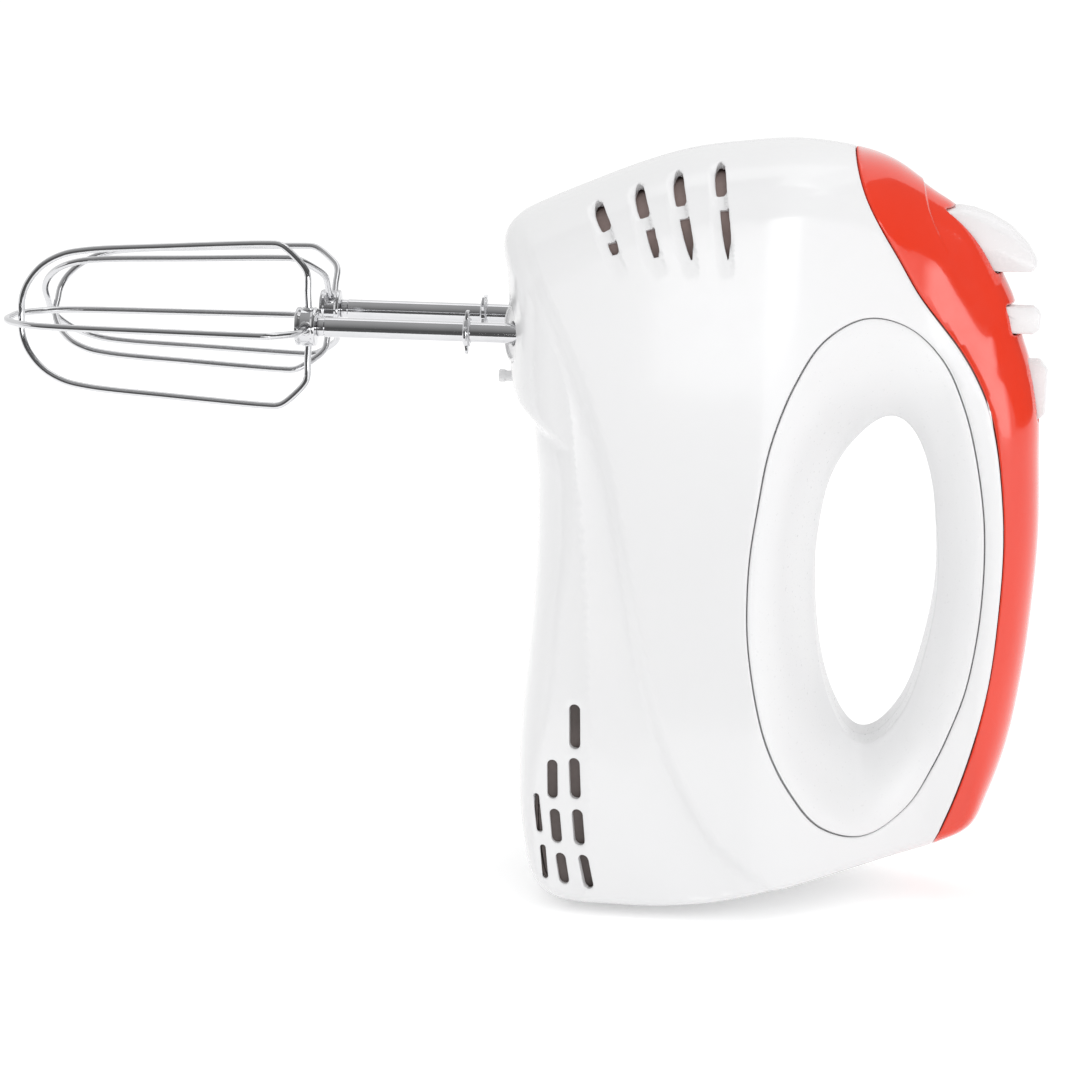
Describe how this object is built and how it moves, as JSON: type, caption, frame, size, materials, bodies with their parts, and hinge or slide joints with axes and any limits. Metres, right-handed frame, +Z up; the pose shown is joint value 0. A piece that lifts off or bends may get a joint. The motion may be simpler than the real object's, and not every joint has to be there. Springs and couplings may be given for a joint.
{
  "type": "hand mixer",
  "caption": "Electric hand mixer with a rounded white housing, a closed loop handle with a red back cover, and two wire beaters, standing on its heel.",
  "frame": {"origin": "middle of the underside of the heel foot, on the plane of symmetry", "axes": "+Z up from the heel to the nose, beaters along -X, handle on the +X side, speed knob's rest side at -Y"},
  "size_m": [0.3313, 0.0973, 0.245],
  "materials": {
    "white_housing": "gloss, smooth moulded",
    "white_grip": "satin to gloss, smooth moulded",
    "red_cover": "high gloss",
    "white_controls": "gloss",
    "chrome_wire": "polished",
    "foot_rubber": "matte",
    "cast_frame": "as cast",
    "motor_steel": "laminated",
    "winding_copper": "enamelled wire",
    "turned_steel": "turned",
    "gear_nylon": "matte",
    "bearing_bronze": "sintered",
    "carbon": "matte",
    "board_green": "satin",
    "switch_black": "matte"
  },
  "bodies": {
    "housing": {"left_shell": "white_housing", "right_shell": "white_housing", "left_grip_insert": "white_grip", "right_grip_insert": "white_grip", "top_cover": "red_cover", "left_socket_collar": "white_housing", "right_socket_collar": "white_housing", "underside_lug": "white_housing", "heel_foot": "foot_rubber", "cord_inlet": "white_grip", "shell_screw_1": "turned_steel", "shell_screw_2": "turned_steel", "shell_screw_3": "turned_steel", "shell_screw_4": "turned_steel", "gear_frame": "cast_frame", "stator_core": "motor_steel", "field_coil_upper": "winding_copper", "field_coil_lower": "winding_copper", "motor_bracket": "cast_frame", "upper_bearing": "bearing_bronze", "lower_bearing": "bearing_bronze", "brush_holder_1": "bearing_bronze", "brush_holder_2": "bearing_bronze", "carbon_brush_1": "carbon", "carbon_brush_2": "carbon", "circuit_board": "board_green", "speed_switch": "switch_black", "turbo_switch": "switch_black"},
    "motor": {"armature_core": "winding_copper", "armature_shaft": "turned_steel", "worm": "turned_steel", "commutator": "winding_copper", "cooling_fan": "gear_nylon"},
    "eject": {"eject_button": "white_controls", "eject_bar": "gear_nylon", "eject_spring": "turned_steel"},
    "speed": {"speed_knob": "white_controls"},
    "turbo": {"turbo_button": "white_controls", "turbo_spring": "turned_steel"},
    "left_drive": {"left_spindle": "turned_steel", "left_worm_wheel": "gear_nylon"},
    "left_beater": {"left_beater_shaft": "chrome_wire", "left_beater_fins": "chrome_wire", "left_beater_hub": "chrome_wire", "left_wire_1": "chrome_wire", "left_wire_2": "chrome_wire"},
    "right_drive": {"right_spindle": "turned_steel", "right_worm_wheel": "gear_nylon"},
    "right_beater": {"right_beater_shaft": "chrome_wire", "right_beater_fins": "chrome_wire", "right_beater_hub": "chrome_wire", "right_wire_1": "chrome_wire", "right_wire_2": "chrome_wire"}
  },
  "joints": [
    {"name": "motor_spin", "type": "hinge", "parent": "housing", "child": "motor", "pos_m": [0.005, 0, 0.11], "axis": [0, 0, 1], "continuous": true},
    {"name": "left_drive_spin", "type": "hinge", "parent": "housing", "child": "left_drive", "pos_m": [0, -0.023, 0.183], "axis": [1, 0, 0], "continuous": true},
    {"name": "right_drive_spin", "type": "hinge", "parent": "housing", "child": "right_drive", "pos_m": [0, 0.023, 0.183], "axis": [1, 0, 0], "continuous": true},
    {"name": "left_beater_release", "type": "slide", "parent": "left_drive", "child": "left_beater", "axis": [-1, 0, 0], "range_m": [0, 0.045]},
    {"name": "right_beater_release", "type": "slide", "parent": "right_drive", "child": "right_beater", "axis": [-1, 0, 0], "range_m": [0, 0.045]},
    {"name": "eject_press", "type": "slide", "parent": "housing", "child": "eject", "axis": [-1, 0, 0], "range_m": [0, 0.006], "stiffness_N_per_m": 600, "springref_m": -0.003},
    {"name": "speed_select", "type": "slide", "parent": "housing", "child": "speed", "axis": [0, 1, 0], "range_m": [0, 0.016]},
    {"name": "turbo_press", "type": "slide", "parent": "housing", "child": "turbo", "axis": [-1, 0, 0], "range_m": [0, 0.002], "stiffness_N_per_m": 500, "springref_m": -0.003}
  ],
  "couplings": [
    {"joint": "left_drive_spin", "follows": "motor_spin", "ratio": -0.052632},
    {"joint": "right_drive_spin", "follows": "motor_spin", "ratio": 0.052632}
  ]
}
